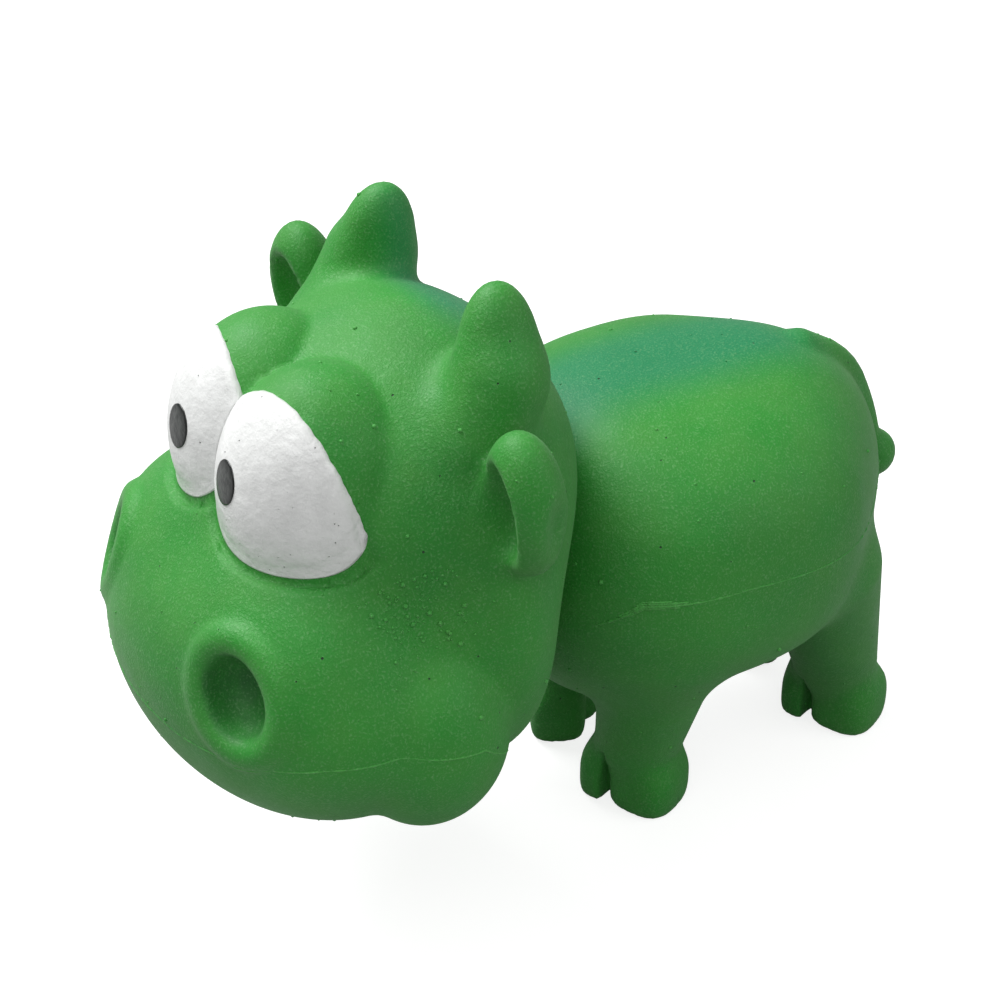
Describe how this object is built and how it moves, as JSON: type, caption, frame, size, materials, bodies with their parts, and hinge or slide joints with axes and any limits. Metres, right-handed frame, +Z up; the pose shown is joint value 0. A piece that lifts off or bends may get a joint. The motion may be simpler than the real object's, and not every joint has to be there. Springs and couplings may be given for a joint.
{
  "type": "latex dog toy",
  "caption": "Stuffed latex squeaky dog toy shaped as a standing bull with bulging eyes, a broad muzzle, short legs and a plug squeaker in the belly.",
  "frame": {"origin": "centre of the bounding box, on the floor that the soles stand on", "axes": "+X towards the toy's left side, -Y the way it looks, +Z up"},
  "size_m": [0.092, 0.1558, 0.1232],
  "materials": {
    "latex_green": "matte powdery moulded latex",
    "eye_white": "semi-gloss paint with fine pinholes",
    "pupil_black": "semi-gloss paint",
    "fibre": "loose polyester fibre",
    "squeaker_plastic": "natural polyethylene",
    "reed_brass": "thin rolled brass"
  },
  "bodies": {
    "toy": {"torso_skin": "latex_green", "head_skin": "latex_green", "fore_leg_left": "latex_green", "fore_leg_right": "latex_green", "hind_leg_left": "latex_green", "hind_leg_right": "latex_green", "horn_left": "latex_green", "horn_right": "latex_green", "ear_left": "latex_green", "ear_right": "latex_green", "tail": "latex_green", "eye_white_left": "eye_white", "eye_white_right": "eye_white", "pupil_left": "pupil_black", "pupil_right": "pupil_black", "fibre_filling": "fibre", "squeaker_plug": "squeaker_plastic", "squeaker_cap": "squeaker_plastic", "reed_seat": "squeaker_plastic", "reed_clip": "squeaker_plastic"},
    "reed": {"squeaker_reed": "reed_brass"}
  },
  "joints": [
    {"name": "reed_flutter", "type": "hinge", "parent": "toy", "child": "reed", "pos_m": [0, 0.03621, 0.0395], "axis": [1, 0, 0], "range_deg": [-1.5, 2.5], "stiffness_Nm_per_rad": 0.0005}
  ]
}
